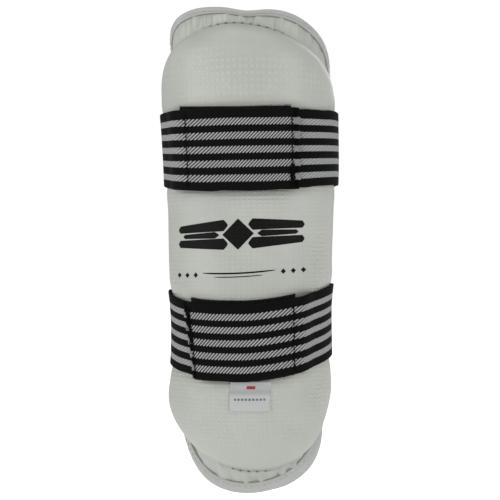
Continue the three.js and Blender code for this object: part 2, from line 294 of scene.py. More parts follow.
def ring_mesh(name, rings, closed, uvs=None, attributes=None, flip=False):
    """A tube through rings of points (stations by ring points), closed on itself or capped."""
    stations, size = rings.shape[:2]
    faces = []
    for k in range(stations if closed else stations - 1):
        for s in range(size):
            a, b = k * size + s, k * size + (s + 1) % size
            c, d = ((k + 1) % stations) * size + (s + 1) % size, ((k + 1) % stations) * size + s
            faces.append((a, d, c, b) if flip else (a, b, c, d))
    if not closed:
        first, last = tuple(range(size)), tuple(range((stations - 1) * size, stations * size))
        faces += [first, last[::-1]] if flip else [first[::-1], last]
    points = rings.reshape(-1, 3)
    uvs = {k: v.reshape(-1, 2) for k, v in (uvs or {}).items()}
    attributes = {k: v.ravel() for k, v in (attributes or {}).items()}
    return make_mesh(name, points, faces, uvs, attributes)


def place(piece, material, slot, body=None, *nodes, fill=None):
    """Dress a piece with its material; hide the CAD nodes it replaces and attach it to its body, where it has
    them. Its padding (fill) is not used.
    """
    piece.data.materials.clear()
    piece.data.materials.append(material)
    if nodes:
        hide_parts(*nodes)
    if body:
        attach(piece, body)


def threads(name, routes, radius, material, slot, body, flatness=1.0, sides=6):
    """Short rounded threads, each a tube with tapered ends along its (path, normal), as one mesh."""
    points, faces = [], []
    for path, normal in routes:
        run = unit(np.gradient(path, axis=0))
        across = unit(np.cross(run, normal))
        up = np.cross(across, run)
        count = len(path)
        taper = np.sqrt(np.clip(1 - np.abs(np.linspace(-1, 1, count)) ** 4, 0.02, 1)) * radius
        angles = np.arange(sides) * FULL_TURN / sides
        ring = (np.cos(angles)[None, :, None] * across[:, None]
                + flatness * np.sin(angles)[None, :, None] * up[:, None])
        start = len(points) * sides * count
        points.append((path[:, None] + ring * taper[:, None, None]).reshape(-1, 3))
        for k in range(count - 1):
            for i in range(sides):
                a, b = start + k * sides + i, start + k * sides + (i + 1) % sides
                faces.append((a, a + sides, b + sides, b))
        faces.append(tuple(start + i for i in range(sides)))
        faces.append(tuple(start + (count - 1) * sides + i for i in reversed(range(sides))))
    place(make_mesh(name, np.concatenate(points), faces), material, slot, body)


def at_length(where, length, line):
    """Points of a line, or its normals, at lengths along it."""
    return np.stack([np.interp(where, length, line[:, c]) for c in range(3)], -1)


# ---- Materials ----

class Shader:
    """A Principled material with short calls for the nodes that feed it."""

    def __init__(self, name, colour, roughness, **fixed):
        self.material = bpy.data.materials.new(name)
        self.material.use_nodes = True
        self.tree = self.material.node_tree
        self.surface = self.tree.nodes["Principled BSDF"]
        self.surface.inputs["Base Color"].default_value = (*colour, 1)
        self.surface.inputs["Roughness"].default_value = roughness
        for socket, value in fixed.items():
            self.surface.inputs[socket.replace("_", " ")].default_value = value

    def node(self, kind, **settings):
        made = self.tree.nodes.new(kind)
        for key, value in settings.items():
            setattr(made, key, value)
        return made

    def feed(self, socket, value):
        if isinstance(value, bpy.types.NodeSocket):
            self.tree.links.new(value, socket)
        else:
            socket.default_value = value

    def math(self, operation, *values):
        made = self.node("ShaderNodeMath", operation=operation)
        for socket, value in zip(made.inputs, values):
            self.feed(socket, value)
        return made.outputs[0]

    def times(self, a, b):
        return self.math("MULTIPLY", a, b)

    def less(self, a, b):
        return self.math("SUBTRACT", a, b)

    def away(self, value, middle):
        return self.math("ABSOLUTE", self.less(value, middle))

    def wave(self, value):
        """How far a value is from the nearest half: 0 there, and 0.5 at whole numbers."""
        return self.away(self.math("FRACT", value), 0.5)

    def repeat(self, value, pitch):
        return self.wave(self.math("DIVIDE", value, pitch))

    def within(self, value, middle, inner, outer):
        return self.step(self.away(value, middle), inner, outer, 1.0, 0.0)

    def mixed(self, share, a, b):
        made = self.node("ShaderNodeMix", data_type="FLOAT")
        for socket, value in zip((made.inputs[0], made.inputs[2], made.inputs[3]), (share, a, b)):
            self.feed(socket, value)
        return made.outputs[0]

    def step(self, value, low, high, start=0.0, end=1.0):
        made = self.node("ShaderNodeMapRange", interpolation_type="SMOOTHSTEP")
        for socket, part in zip(made.inputs, (value, low, high, start, end)):
            self.feed(socket, part)
        return made.outputs[0]

    def blend(self, share, a, b):
        made = self.node("ShaderNodeMix", data_type="RGBA")
        self.feed(made.inputs[0], share)
        self.feed(made.inputs[6], (*a, 1) if isinstance(a, tuple) else a)
        self.feed(made.inputs[7], (*b, 1) if isinstance(b, tuple) else b)
        return made.outputs[2]

    def uv(self, layer):
        split = self.node("ShaderNodeSeparateXYZ")
        self.tree.links.new(self.node("ShaderNodeUVMap", uv_map=layer).outputs[0], split.inputs[0])
        return split.outputs[0], split.outputs[1]

    def attribute(self, name):
        return self.node("ShaderNodeAttribute", attribute_name=name).outputs["Fac"]

    def noise(self, scale, detail=3.0, roughness=0.5, stretch=(1, 1, 1)):
        place = self.node("ShaderNodeMapping")
        place.inputs["Scale"].default_value = stretch
        where = self.node("ShaderNodeTexCoord").outputs["Object"]
        self.tree.links.new(where, place.inputs["Vector"])
        made = self.node("ShaderNodeTexNoise")
        self.tree.links.new(place.outputs[0], made.inputs["Vector"])
        made.inputs["Scale"].default_value = scale
        made.inputs["Detail"].default_value = detail
        made.inputs["Roughness"].default_value = roughness
        return made.outputs["Fac"]

    def cells(self, scale, randomness=1.0):
        where = self.node("ShaderNodeTexCoord").outputs["Object"]
        made = self.node("ShaderNodeTexVoronoi")
        self.tree.links.new(where, made.inputs["Vector"])
        made.inputs["Scale"].default_value = scale
        made.inputs["Randomness"].default_value = randomness
        return made.outputs["Distance"]

    def bump(self, *layers):
        """Each layer is (height from 0 to 1, depth in metres)."""
        normal = None
        for height, depth in layers:
            made = self.node("ShaderNodeBump")
            made.inputs["Strength"].default_value = 1
            made.inputs["Distance"].default_value = depth
            self.feed(made.inputs["Height"], height)
            if normal is not None:
                self.tree.links.new(normal, made.inputs["Normal"])
            normal = made.outputs[0]
        self.tree.links.new(normal, self.surface.inputs["Normal"])

    def colour(self, value):
        self.feed(self.surface.inputs["Base Color"], value)

    def roughness(self, value):
        self.feed(self.surface.inputs["Roughness"], value)


LEATHER_COLOUR = (0.60, 0.622, 0.560)
LEATHER_SHADE = (0.545, 0.567, 0.505)
SEAM_TINT = (0.36, 0.37, 0.27)
BINDING_COLOUR = (0.575, 0.585, 0.560)


def dot_height(sh):
    """Round raised dots, one in each unit square of the emboss layer."""
    squares = []
    for part in sh.uv("emboss"):
        beside = sh.less(sh.math("FRACT", part), 0.5)
        squares.append(sh.times(beside, beside))
    far = sh.math("SQRT", sh.math("ADD", *squares))
    return sh.times(sh.step(far, 0.16, 0.44, 1.0, 0.0), sh.attribute("dots"))


def leather_material():
    sh = Shader("embossed_leather", LEATHER_COLOUR, 0.4, Specular_IOR_Level=0.5,
                    Coat_Weight=0.12, Coat_Roughness=0.28)
    base = sh.blend(sh.step(sh.noise(26, 4), 0.35, 0.68), LEATHER_SHADE, LEATHER_COLOUR)
    seam = sh.times(sh.attribute("seam"), sh.step(sh.noise(160), 0.3, 0.6))
    dots = dot_height(sh)
    # The raised dots are painted lighter than the leather around them: a painted highlight on each dot,
    # besides their bump.
    base = sh.blend(sh.times(dots, 0.55), base, (0.70, 0.72, 0.665))
    sh.colour(sh.blend(seam, base, SEAM_TINT))
    gloss = sh.times(sh.attribute("lip"), -0.1)
    rough = sh.step(sh.noise(300, 2), 0.3, 0.7, 0.38, 0.47)
    sh.roughness(sh.math("ADD", rough, gloss))
    sh.bump((dots, 0.00034), (sh.noise(2300, 4, 0.6), 0.00003), (sh.noise(420, 2), 0.00005))
    return sh.material


def print_material():
    """Screen-printed ink: it lies over the embossed dots."""
    sh = Shader("black_print_ink", (0.010, 0.010, 0.009), 0.5, Specular_IOR_Level=0.15)
    worn = sh.step(sh.noise(900, 4, 0.65), 0.62, 0.74)
    dots = dot_height(sh)
    # The ink is painted lighter on the raised dots: a painted highlight on each dot.
    shade = sh.times(sh.step(dots, 0.1, 0.8), 0.25)
    ink_with_painted_dot_highlights = sh.blend(shade, (0.004, 0.004, 0.0035), (0.028, 0.028, 0.024))
    sh.colour(sh.blend(sh.times(worn, 0.12), ink_with_painted_dot_highlights, (0.2, 0.2, 0.18)))
    sh.roughness(sh.step(sh.noise(700), 0.3, 0.7, 0.45, 0.6))
    sh.bump((dots, 0.00022), (sh.noise(2300, 4, 0.6), 0.00002))
    return sh.material


def binding_material():
    sh = Shader("smooth_binding_leather", BINDING_COLOUR, 0.42, Specular_IOR_Level=0.5)
    base = sh.blend(sh.step(sh.noise(30, 4), 0.35, 0.68), (0.53, 0.54, 0.515), BINDING_COLOUR)
    seam = sh.times(sh.attribute("seam"), sh.step(sh.noise(220), 0.3, 0.6))
    sh.colour(sh.blend(seam, base, SEAM_TINT))
    sh.roughness(sh.step(sh.noise(240, 3), 0.3, 0.7, 0.36, 0.5))
    sh.bump((sh.less(1.0, sh.cells(1500)), 0.00003), (sh.noise(500, 3), 0.00007))
    return sh.material


def thread_material(name, colour, roughness=0.6, specular=0.4):
    sh = Shader(name, colour, roughness, Specular_IOR_Level=specular)
    dark = tuple(part * 0.55 for part in colour)
    sh.colour(sh.blend(sh.step(sh.noise(3000, 2), 0.35, 0.65), dark, colour))
    sh.bump((sh.noise(4000, 2), 0.00005))
    return sh.material


STRIPE_MIDDLES = (0.163, 0.332, 0.503, 0.674, 0.848)
STRIPE_HALF = 0.0345
RIB_PITCH, PICK_PITCH = 1.8, 0.72
WEBBING_WIDTH = 42.6
SIDE_STRETCH, TAB_STRETCH = 0.5, 0.48


def elastic_material():
    """Woven elastic: black, with five grey twill stripes; stretched where it goes round the side."""
    sh = Shader("striped_elastic", (0.006, 0.006, 0.006), 0.9, Specular_IOR_Level=0.12,
                    Sheen_Weight=0.015, Sheen_Roughness=0.5)
    u, v = sh.uv("weave")
    stretched = sh.attribute("stretch")
    across = sh.times(v, WEBBING_WIDTH)
    rib = sh.repeat(sh.math("ADD", u, across), RIB_PITCH)
    gap = sh.step(rib, 0.16, 0.30)
    pick_gap = sh.step(sh.repeat(across, PICK_PITCH), 0.28, 0.5)
    bulge = sh.times(sh.times(sh.less(rib, 0.25), 0.030), sh.less(1.0, stretched))
    inside = 0.0
    for middle in STRIPE_MIDDLES:
        edge = sh.math("ADD", sh.away(v, middle), bulge)
        stripe = sh.step(edge, STRIPE_HALF, STRIPE_HALF + 0.008, 1.0, 0.0)
        inside = sh.math("MAXIMUM", inside, stripe)
    coarse_dark = sh.times(gap, sh.mixed(stretched, 1.0, 0.45))
    fine_dark = sh.times(pick_gap, sh.mixed(stretched, 0.2, 0.5))
    fleck = sh.step(sh.noise(2500, 3), 0.3, 0.7)
    grey = sh.blend(fleck, (0.50, 0.507, 0.508), (0.63, 0.638, 0.64))
    stripe_colour = sh.blend(sh.math("MAXIMUM", coarse_dark, fine_dark), grey, (0.080, 0.081, 0.082))
    black = sh.blend(fleck, (0.0025, 0.0025, 0.0024), (0.006, 0.006, 0.0057))
    black = sh.blend(sh.times(pick_gap, 0.6), black, (0.0015, 0.0015, 0.0015))
    sh.colour(sh.blend(inside, black, stripe_colour))
    sh.bump((sh.less(1.0, gap), 0.00020), (sh.less(1.0, pick_gap), 0.00010),
                (sh.noise(3500, 2), 0.00006))
    return sh.material


def pile_material(name, deep, light):
    sh = Shader(name, light, 0.95, Specular_IOR_Level=0.2, Sheen_Weight=0.06)
    tuft = sh.step(sh.cells(1400), 0.1, 0.7)
    sh.colour(sh.blend(tuft, light, deep))
    sh.bump((sh.less(1.0, tuft), 0.0004), (sh.noise(2600, 3), 0.0003))
    return sh.material


def lining_material():
    """Black warp-knit lining with fine wales."""
    sh = Shader("knitted_lining", (0.03, 0.03, 0.032), 0.8, Specular_IOR_Level=0.3, Sheen_Weight=0.3)
    u, v = sh.uv("cloth")
    wale, course = sh.repeat(u, 0.9), sh.repeat(v, 0.8)
    loop = sh.math("ADD", wale, sh.times(course, 0.6))
    worn = sh.step(sh.noise(40, 5), 0.3, 0.8)
    base = sh.blend(worn, (0.026, 0.026, 0.029), (0.036, 0.036, 0.039))
    sh.colour(sh.blend(sh.step(loop, 0.45, 0.75), base, (0.009, 0.009, 0.010)))
    sh.bump((sh.less(1.0, loop), 0.0002), (sh.noise(2200, 3), 0.0001))
    return sh.material


def satin_material():
    """A white satin label with a red bar over a row of dark dashes."""
    sh = Shader("satin_label", (0.62, 0.625, 0.62), 0.36, Specular_IOR_Level=0.5, Anisotropic=0.4)
    u, v = sh.uv("label")
    # A darker band across the label where it bulges at its fold: painted shade.
    shade = sh.step(sh.away(v, 0.62), 0.0, 0.16, 0.75, 0.0)
    base = sh.blend(shade, (0.60, 0.605, 0.60), (0.44, 0.44, 0.445))
    bar = sh.times(sh.within(u, 0.52, 0.10, 0.115), sh.within(v, 0.80, 0.045, 0.06))
    base = sh.blend(bar, base, (0.45, 0.035, 0.04))
    dash = sh.step(sh.wave(sh.times(u, 11.0)), 0.30, 0.36, 1.0, 0.0)
    row = sh.within(v, 0.40, 0.03, 0.045)
    marks = sh.times(sh.times(dash, row), sh.within(u, 0.5, 0.38, 0.39))
    sh.colour(sh.blend(sh.times(marks, 0.8), base, (0.06, 0.06, 0.065)))
    weave = sh.wave(sh.times(v, 70.0))
    sh.bump((weave, 0.00003), (sh.noise(1500, 2), 0.00004))
    return sh.material


def foam_material(name, dark, light, cell_scale):
    sh = Shader(name, light, 0.9)
    cell = sh.step(sh.cells(cell_scale), 0.1, 0.6)
    sh.colour(sh.blend(cell, dark, light))
    sh.bump((sh.less(1.0, cell), 0.0003))
    return sh.material


LEATHER = leather_material()
INK = print_material()
BINDING = binding_material()
ELASTIC_WEB = elastic_material()
LOOP = pile_material("loop_pile", (0.002, 0.002, 0.002), (0.008, 0.008, 0.008))
HOOK = pile_material("hook_tape", (0.003, 0.003, 0.003), (0.012, 0.012, 0.013))
KNIT = lining_material()
SATIN = satin_material()
OLIVE_THREAD = thread_material("seam_thread", (0.36, 0.37, 0.28))
# The crease stitches' thread is coloured dark: painted shade of the holes they sink into.
CREASE_THREAD_PAINTED_SHADE = thread_material("crease_thread_painted_shade", (0.11, 0.11, 0.095))
GREY_YARN = thread_material("grey_yarn", (0.42, 0.425, 0.43), 0.9, 0.1)
BLACK_THREAD = thread_material("black_thread", (0.0035, 0.0035, 0.0035), 0.95, 0.1)


# ---- The camera, the light and the stage ----

CAMERA_YAW, CAMERA_ROLL = 8 * RADIANS, 0.7 * RADIANS
CAMERA_ASIDE, CAMERA_DISTANCE, SCALE_PLANE_DISTANCE = -0.0007, 0.80, 0.025
FRAME_WIDTH, SENSOR = 0.268, 36.0
WORLD_SEEN, WORLD_LIGHT = 1.02, 0.36
FLOOR_SEEN, FLOOR_LIGHT = 1.0, 0.30
FLOOR_HALF_SIDE, FLOOR_Z = 6.0, -0.24
LAMPS = [
    ("key", (-1.25, -0.95, 0.40), 0.8, 6.0), ("fill", (1.25, -0.95, 0.30), 0.9, 4.6),
    ("top", (0.0, -0.45, 1.40), 0.8, 2.5), ("back", (0.4, 1.3, 0.8), 1.2, 5.5),
]


def make_camera():
    data = bpy.data.cameras.new("camera")
    data.sensor_width = SENSOR
    data.lens = SENSOR * (CAMERA_DISTANCE - SCALE_PLANE_DISTANCE) / FRAME_WIDTH
    camera = add_object("camera", data)
    back = Vector((math.sin(CAMERA_YAW), -math.cos(CAMERA_YAW), 0))
    aside = Vector((math.cos(CAMERA_YAW), math.sin(CAMERA_YAW), 0)) * CAMERA_ASIDE
    camera.location = back * CAMERA_DISTANCE + aside
    camera.rotation_euler = (-back).to_track_quat("-Z", "Y").to_euler()
    camera.rotation_euler.rotate_axis("Z", -CAMERA_ROLL)
    bpy.context.scene.camera = camera


def background(node, colour, strength):
    node.inputs["Color"].default_value = (*colour, 1)
    node.inputs["Strength"].default_value = strength
    return node.outputs[0]


def make_stage():
    """A white room: what the camera sees of it is brighter than the light that it gives."""
    world = bpy.data.worlds.new("studio")
    world.use_nodes = True
    tree = world.node_tree
    choose = tree.nodes.new("ShaderNodeMixShader")
    lit = background(tree.nodes.new("ShaderNodeBackground"), (0.97, 0.985, 1), WORLD_LIGHT)
    seen = background(tree.nodes["Background"], (1, 1, 1), WORLD_SEEN)
    path = tree.nodes.new("ShaderNodeLightPath")
    for socket, value in zip(choose.inputs, (path.outputs["Is Camera Ray"], lit, seen)):
        tree.links.new(value, socket)
    tree.links.new(choose.outputs[0], tree.nodes["World Output"].inputs[0])
    bpy.context.scene.world = world

    for name, where, size, power in LAMPS:
        data = bpy.data.lights.new(name, "AREA")
        data.size = size
        data.energy = power
        lamp = add_object(name, data)
        lamp.location = where
        lamp.rotation_euler = (-Vector(where)).to_track_quat("-Z", "Y").to_euler()

    h, z = FLOOR_HALF_SIDE, FLOOR_Z
    mesh = bpy.data.meshes.new("floor")
    mesh.from_pydata([(-h, -h, z), (h, -h, z), (h, h, z), (-h, h, z)], [], [(0, 1, 2, 3)])
    floor = add_object("floor", mesh)
    sh = Shader("pale_floor", (0.8, 0.8, 0.8), 0.7, Emission_Color=(1, 1, 1, 1))
    speckle = sh.step(sh.noise(9, 2), 0.3, 0.7)
    sh.colour(sh.blend(speckle, (0.79, 0.79, 0.79), (0.81, 0.81, 0.81)))
    seen_directly = sh.node("ShaderNodeLightPath").outputs["Is Camera Ray"]
    sh.feed(sh.surface.inputs["Emission Strength"], sh.mixed(seen_directly, FLOOR_LIGHT, FLOOR_SEEN))
    mesh.materials.append(sh.material)

    view = bpy.context.scene.view_settings
    view.view_transform = "Standard"
    view.look = "None"
    view.exposure = 0
    view.gamma = 1


# ---- The pad ----

TOP_PUCKERS = ((-48, 0.5), (-30, 0.7), (-21, 0.4), (-12, 0.6), (9, 1.0), (24, 0.8), (37, 0.6), (52, 0.7),
               (63, 0.5))
BOTTOM_PUCKERS = ((-44, 0.5), (-31, 0.6), (-17, 0.5), (-6, 0.4), (5, 0.5), (21, 1.0), (34, 0.6), (45, 0.5))


def z_at_level(phi, level):
    """Levels run 0 to 1 over the bottom lip, to 2 over the raised pad and to 3 over the top lip."""
    low = mix(edge_bottom(phi), pad_bottom(phi), np.clip(level, 0, 1))
    middle = mix(pad_bottom(phi), pad_top(phi), np.clip(level - 1, 0, 1))
    high = mix(pad_top(phi), edge_top(phi), np.clip(level - 2, 0, 1))
    return np.where(level < 1, low, np.where(level > 2, high, middle))


def gathers(phi, level):
    """Puckers of the leather across the lips, in millimetres: folds that fan out to the seam."""
    along = phi * PHI_MM
    top = smoothstep(2.0, 2.2, level) * (1 - smoothstep(2.6, 2.9, level))
    bottom = smoothstep(1.06, 0.8, level) * (1 - smoothstep(0.4, 0.1, level))
    folds = 0.55 * noise(along / 3.1, level * 0.7, 3) + 0.3 * noise(along / 1.4, level * 0.7, 4)
    height = (1.4 * top + 2.0 * bottom) * folds
    for puckers, zone in ((TOP_PUCKERS, top), (BOTTOM_PUCKERS, bottom)):
        for degrees, depth in puckers:
            lean = 0.012 * math.sin(degrees * 7.0)
            away = (phi - degrees * RADIANS - lean * (level % 1)) * PHI_MM
            height = height + zone * depth * (0.5 * bell(away - 1.7, 1.2) - 0.8 * bell(away, 0.75))
    return height


def lip_sag(phi):
    """The top lip dips at its middle, between two low humps."""
    along = phi * PHI_MM
    return 2.0 * bell(along - 3, 9) - 0.8 * bell(along + 24, 13) - 0.9 * bell(along - 27, 12)


def strap_middle(strap, turn, aside):
    """The height of the strap's middle line: it climbs where it goes round the sides."""
    on_tab = np.sin(turn) < 0
    tab_rise = mix(strap.tab_rise, strap.rise, np.maximum(0, -np.cos(turn)))
    rise = np.where(on_tab, tab_rise, strap.rise)
    return strap.middle + rise * aside ** np.where(on_tab, strap.tab_curve, 3)


def strap_press(phi, z):
    """The cover is pinched where the loop patch is sewn on, and swells a little beside it."""
    press = 0.0
    x = np.sin(phi) * 47
    for strap in STRAPS:
        aside = np.minimum(1, np.abs(np.sin(phi)) / 0.96)
        away = np.abs(z - strap_middle(strap, strap.side * phi, aside))
        away = away - mix(strap.half_front, STRAP_HALF_SIDE, aside ** 3)
        front = smoothstep(37, 27, np.abs(x))
        press = press - mix(0.35, SEWN_DENT, front) * smoothstep(2.6, -1.5, away)
        press = press + mix(0.3, 0.65, front) * bell(away - 5.5, 4.0)
    return press


def cover_relief(phi, z, level):
    inside = smoothstep(1.0, 1.06, level) * (1 - smoothstep(1.96, 2.0, level))
    wave = noise(phi * PHI_MM / 17, z / 19, 11) * 0.28 + noise(phi * PHI_MM / 8, z / 9, 12) * 0.08
    crease = 0.9 * (bell((level - 2) * 12, 0.5) + bell((level - 1) * 12, 0.5) * bell(phi, 0.4))
    return inside * wave + gathers(phi, level) + strap_press(phi, z) * inside - crease


EMBOSS_PITCH_X = 2.85
ARC_PHI = np.linspace(-EDGE_PHI, EDGE_PHI, 400)
ARC_POINTS = cover_point(ARC_PHI, np.zeros(400))
ARC_LENGTH = np.concatenate([[0], np.cumsum(np.linalg.norm(np.diff(ARC_POINTS, axis=0), axis=1))])


def emboss_u(phi):
    """Dots counted round the arm."""
    return (np.interp(phi, ARC_PHI, ARC_LENGTH) - ARC_LENGTH[-1] / 2) / EMBOSS_PITCH_X


def emboss_v(z):
    """Dots counted along the arm: they are stretched to a wider pitch near the elbow end."""
    table_z = np.linspace(-140, 140, 281)
    pitch = mix(2.3, 3.6, smoothstep(30, 85, table_z))
    return np.interp(z, table_z, np.cumsum(1 / pitch))


def dot_strength(phi, z, level):
    rim = smoothstep(1.02, 1.10, level) * (1 - smoothstep(1.90, 1.97, level))
    sides = 1 - smoothstep(48, 72, np.abs(phi) / RADIANS)
    patchy = 0.3 + 0.7 * smoothstep(-0.35, 0.45, noise(phi * PHI_MM / 13, z / 20, 21))
    smooth_middle = 1 - 0.6 * bell(z - 4, 30) * bell(phi - 0.1, 0.45)
    near_elbow = 0.5 + 0.7 * bell(phi + 0.62, 0.36) + 0.35 * bell(phi - 0.72, 0.3)
    return rim * sides * patchy * smooth_middle * mix(1, near_elbow, smoothstep(40, 80, z))


def make_cover():
    columns, lip_rows, pad_rows = 190, 20, 190
    spread = np.linspace(-1, 1, columns)
    phis = EDGE_PHI * mix(spread, np.sin(spread * math.pi / 2), 0.25)
    share = np.linspace(0, 1, pad_rows)
    shoulders = (1 + np.sin((share - 0.5) * math.pi)) / 2
    pad_levels = 1 + mix(share, shoulders, 0.5)
    lip = np.linspace(0, 1, lip_rows)
    levels = np.concatenate([lip[:-1], pad_levels, 2 + lip[1:]])
    phi, level = np.meshgrid(phis, levels)
    z = z_at_level(phi, level)
    sag = lip_sag(phi) * smoothstep(2.0, 3.0, level)
    relief = cover_relief(phi, z, level)
    height = cover_height(phi, z) + relief
    outer = layer_point(phi, z - sag, height)
    inner = layer_point(phi, z - sag, np.maximum(height - 0.9, 1.2))
    seam = bell((level - 3) * 10 + 3.4, 0.9) + bell(level * 12 - 4.2, 0.9)
    uvs = {"emboss": np.stack([emboss_u(phi), emboss_v(z)], -1)}
    attributes = {
        "dots": dot_strength(phi, z, level),
        "seam": 0.22 * seam,
        "lip": smoothstep(1.9, 2.05, level) + smoothstep(1.05, 0.95, level),
    }
    cover = shell("embossed_cover", outer, inner, uvs, attributes)
    place(cover, LEATHER, "cover_leather", "pad", "front_cover", fill=0.95)


def make_lining():
    columns, rows = 120, 150
    phis = EDGE_PHI * np.linspace(-1, 1, columns)
    levels = np.linspace(0, 3, rows)
    phi, level = np.meshgrid(phis, levels)
    z = z_at_level(phi, level)
    sag = lip_sag(phi) * smoothstep(2.0, 3.0, level)
    across = np.minimum(1, np.abs(phi) / PAD_PHI)
    padding = (smoothstep(1.0, 1.18, level) * (1 - smoothstep(1.82, 2.0, level))
               * (1 - smoothstep(0.86, 1.0, across)))
    wrinkle = noise(phi * PHI_MM / 9, z / 30, 31) * 0.35 + noise(phi * PHI_MM / 4, z / 16, 32) * 0.12
    tuck = gathers(phi, level) * 0.5
    inner_height = -padding * (1.6 + wrinkle) + tuck
    seen = layer_point(phi, z - sag, inner_height)
    hidden = layer_point(phi, z - sag, inner_height + 0.8)
    uvs = {"cloth": np.stack([phi * 38, z], -1)}
    lining = shell("knitted_lining", seen, hidden, uvs, flip=True)
    place(lining, KNIT, "lining_fabric", "pad", "back_lining", fill=0.4)


def edge_loop(count_end, count_side):
    """phi and z round the bound edge, clockwise seen from the padded face."""
    spread = np.linspace(-1, 1, count_end + 1)
    phis = EDGE_PHI * mix(spread, np.sin(spread * math.pi / 2), 0.6)
    top = np.stack([phis[:-1], edge_top(phis[:-1])], -1)
    bottom = np.stack([-phis[:-1], edge_bottom(phis[:-1])], -1)
    down = np.linspace(0, 1, count_side + 1)[:-1]
    high, low = edge_top(EDGE_PHI), edge_bottom(EDGE_PHI)
    right = np.stack([np.full(count_side, EDGE_PHI), mix(high, low, down)], -1)
    left = np.stack([np.full(count_side, -EDGE_PHI), mix(low, high, down)], -1)
    return np.concatenate([top, right, bottom, left])


class EdgeTrack:
    """The bound edge as a track: at(reach, height) gives points beside it on the pad's surface."""

    def __init__(self, count_end, count_side):
        self.phi, self.z = edge_loop(count_end, count_side).T
        here = layer_point(self.phi, self.z, 0.0)
        self.radius = np.linalg.norm(here - layer_point(self.phi - 0.02, self.z, 0.0), axis=1) / 0.02
        run = np.stack([(np.roll(self.phi, -1) - np.roll(self.phi, 1)) * self.radius,
                        np.roll(self.z, -1) - np.roll(self.z, 1)], -1)
        for _ in range(6):
            run = (np.roll(run, 1, 0) + run + np.roll(run, -1, 0)) / 3
        self.run = unit(run)
        step = np.linalg.norm(np.roll(here, -1, 0) - here, axis=1)
        self.length = np.concatenate([[0], np.cumsum(step)[:-1]])
        self.whole = step.sum()
        self.top = np.where(self.z > 0, 1.0, 0.0)
        self.near_top = smoothstep(0, 80, self.z)

    def at(self, reach, height):
        phi = self.phi - reach * self.run[:, 1] / self.radius
        z = self.z + reach * self.run[:, 0]
        sag = lip_sag(phi) * self.top
        return layer_point(phi, z - sag, height)

    def front_reach(self):
        """How far the tape covers the front: it rolls back along the top lip, most at its middle."""
        return BINDING_REACH - self.near_top * (1.4 + 1.1 * bell(self.phi * PHI_MM, 22))


def make_binding():
    """The folded tape: each point of its section is (share of the front reach, beside it, height)."""
    track = EdgeTrack(420, 120)
    reach = track.front_reach()
    ripple = noise(track.length / 6, track.length * 0, 41) * 0.16
    ripple = ripple + noise(track.length / 2.1, track.length * 0, 42) * 0.12
    top, low, fold = 3.45, -1.25, BINDING_FOLD
    section = [
        (-1, -0.1, 2.2), (-1, 0.02, 2.8), (-1, 0.3, 3.25), (-1, 0.75, top + 0.12), (-1, 1.3, top - 0.08),
        (-0.55, 0, top + 0.1), (-0.2, 0, top + 0.05), (0, fold - 0.9, top - 0.1),
        (0, fold - 0.35, top - 0.55), (0, fold - 0.02, 2.4), (0, fold, 1.2), (0, fold - 0.1, 0.1),
        (0, fold - 0.5, low + 0.35), (0, fold - 1.2, low), (0, -2.4, low - 0.1),
        (0, 0.7 - BINDING_REACH, low - 0.05), (0, -BINDING_REACH, low + 0.35), (0, -BINDING_REACH, 0),
        (0, -1, 0.5),
    ]
    rings, seam = [], []
    for k, (share, beside, height) in enumerate(section):
        moved = ripple * (1.0 if 0 < k < 8 else 0.6) * (1 if height > 1 else -1)
        rings.append(track.at(share * reach + beside, height + moved))
        seam.append(np.full(len(reach), 0.5 if k < 2 else 0.0))
    binding = ring_mesh("edge_tape", np.stack(rings[::-1], 1), True,
                        attributes={"seam": np.stack(seam[::-1], 1)})
    place(binding, BINDING, "binding_tape", "pad", "edge_binding")
    make_seam_cord(track, reach)
    make_tape_stitches(track, reach)


def make_seam_cord(track, reach, radius=0.14):
    """The seam's thread beside the tape."""
    path = track.at(-reach - 0.2, 2.6 + 0 * reach)
    normals = lining_normal(track.phi, track.z)
    across = np.cross(unit(np.roll(path, -1, 0) - np.roll(path, 1, 0)), normals)
    angles = (np.arange(6) * math.pi / 3)[None, :, None]
    rings = path[:, None] + radius * (np.cos(angles) * across[:, None] + np.sin(angles) * normals[:, None])
    cord = ring_mesh("seam_cord", rings, True, flip=True)
    place(cord, OLIVE_THREAD, "binding_tape", "pad")


def make_tape_stitches(track, reach, pitch=3.2, long=1.9, radius=0.13):
    """The tape's own row of small stitches."""
    line = track.at(1.9 - reach, 3.56 + 0 * reach)
    normals = lining_normal(track.phi, track.z)
    rise = np.sin(np.linspace(0, math.pi, 5)) * 0.12
    routes = []
    for start in np.arange(0.5, track.whole - long, pitch):
        up = at_length(start, track.length, normals)
        path = at_length(start + np.linspace(0, long, 5), track.length, line)
        routes.append((path + rise[:, None] * up, up))
    threads("tape_stitches", routes, radius, BINDING, "binding_tape", "pad")


def make_crease_stitches(pitch=4.5, long=1.5, radius=0.26):
    """The row that closes the pad: sunk stitches in the crease between pad and lip, coloured dark as painted
    shade of the holes they sink into.
    """
    routes = []
    for outline, shift, degrees in ((pad_top, 0.35, 64), (pad_bottom, -0.35, 17)):
        phis = np.linspace(-degrees, degrees, 4000) * RADIANS
        line = layer_point(phis, outline(phis) + shift, LIP_HEIGHT + 0.35)
        length = np.concatenate([[0], np.cumsum(np.linalg.norm(np.diff(line, axis=0), axis=1))])
        for start in np.arange(1.0, length[-1] - 2, pitch):
            up = lining_normal(np.interp(start, length, phis), 0.0)
            routes.append((at_length(start + np.linspace(0, long, 5), length, line), up))
    threads("crease_stitches", routes, radius, CREASE_THREAD_PAINTED_SHADE, "cover_leather", "pad")


# ---- The print on the cover: plain geometric marks ----

INK_LIFT = 0.07
PRINT_X, PRINT_Z, PRINT_SLOPE = -1.6, 8.4, 0.035
RULE_Z, RULE_REACH = -12.2, 19.5
BARS = ((5.0, 3.1, 5.4, 34.0), (0.0, 1.8, 10.2, 31.0), (-5.0, 3.1, 5.4, 34.0))


